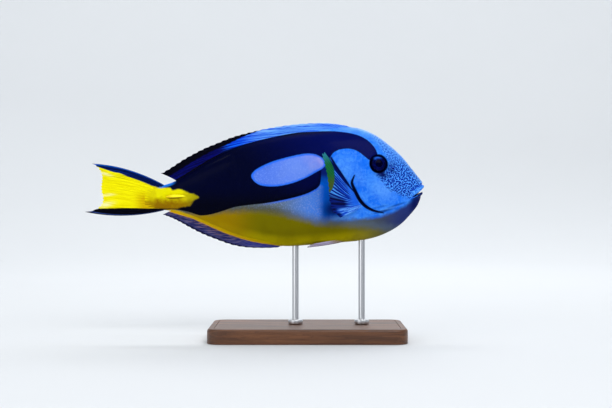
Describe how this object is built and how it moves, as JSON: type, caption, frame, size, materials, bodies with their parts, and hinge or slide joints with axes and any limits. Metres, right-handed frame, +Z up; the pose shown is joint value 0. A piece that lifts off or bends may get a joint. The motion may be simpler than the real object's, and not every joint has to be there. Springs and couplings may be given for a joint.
{
  "type": "regal blue tang model",
  "caption": "Life-size still model of a swimming regal blue tang, held level over a flat wooden base by short steel rods.",
  "frame": {"origin": "on the floor under the middle of the model's footprint, which is the middle of the fish's length", "axes": "+X is towards the fish's head, +Y towards its left side, and +Z up"},
  "size_m": [0.2306, 0.0812, 0.1468],
  "materials": {
    "skin": "painted resin skin, cobalt blue with a navy-black palette mark and a golden yellow belly, satin with a wet sheen",
    "tail_skin": "painted resin skin, yellow wedge on navy black",
    "dorsal_fin": "cast resin fin, bright blue with fine rays and a black edge",
    "anal_fin": "cast resin fin, violet blue rays over a yellow root, with a dark edge",
    "tail_fin": "cast resin fin, lemon yellow with navy upper and lower borders",
    "paired_fins": "cast resin fin, translucent blue with a green-yellow outer edge",
    "pelvic_fins": "cast resin fin, pale lilac over yellow",
    "hard_parts": "smooth pale yellow spines and ivory teeth",
    "eyes": "clear gloss over blue-black",
    "stand_wood": "oiled walnut",
    "stand_steel": "brushed steel"
  },
  "bodies": {
    "root": {"head": "skin", "trunk": "skin", "tail_stem": "tail_skin", "dorsal_fin": "dorsal_fin", "anal_fin": "anal_fin", "tail_fin": "tail_fin", "pectoral_fin_left": "paired_fins", "pectoral_fin_right": "paired_fins", "pelvic_fin_left": "pelvic_fins", "pelvic_fin_right": "pelvic_fins", "tail_spine_left": "hard_parts", "tail_spine_right": "hard_parts", "eye_left": "eyes", "eye_right": "eyes", "stand_base": "stand_wood", "stand_rod_front": "stand_steel", "stand_rod_rear": "stand_steel"}
  },
  "joints": []
}
